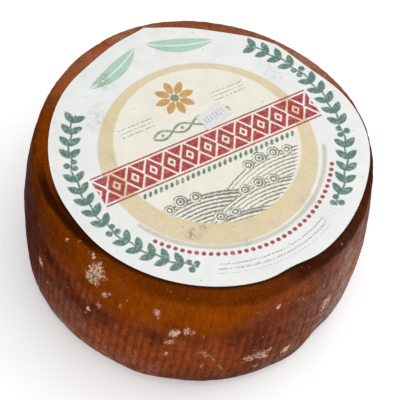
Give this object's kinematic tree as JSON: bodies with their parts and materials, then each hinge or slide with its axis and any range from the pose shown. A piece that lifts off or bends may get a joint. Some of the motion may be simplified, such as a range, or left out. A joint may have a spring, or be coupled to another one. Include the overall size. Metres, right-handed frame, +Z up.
{
  "type": "sheep milk cheese",
  "caption": "Whole wheel of mature sheep's milk cheese with a ribbed, oiled brown rind, a printed round paper label on its upper face and a small price sticker.",
  "frame": {"origin": "middle of the base, on the surface that the wheel rests on", "axes": "+Z up, square to the base and the upper face; -Y towards the side from which the picture looks; +X to the right of that view"},
  "size_m": [0.2, 0.2008, 0.0961],
  "materials": {
    "rind": "oiled and smoked brown cheese rind, semi-gloss, with pale mould spots",
    "label_paper": "printed white label paper, matt",
    "sticker_paper": "white price sticker, smooth"
  },
  "bodies": {
    "root": {"cheese_wheel": "rind", "paper_label": "label_paper", "price_sticker": "sticker_paper"}
  },
  "joints": []
}
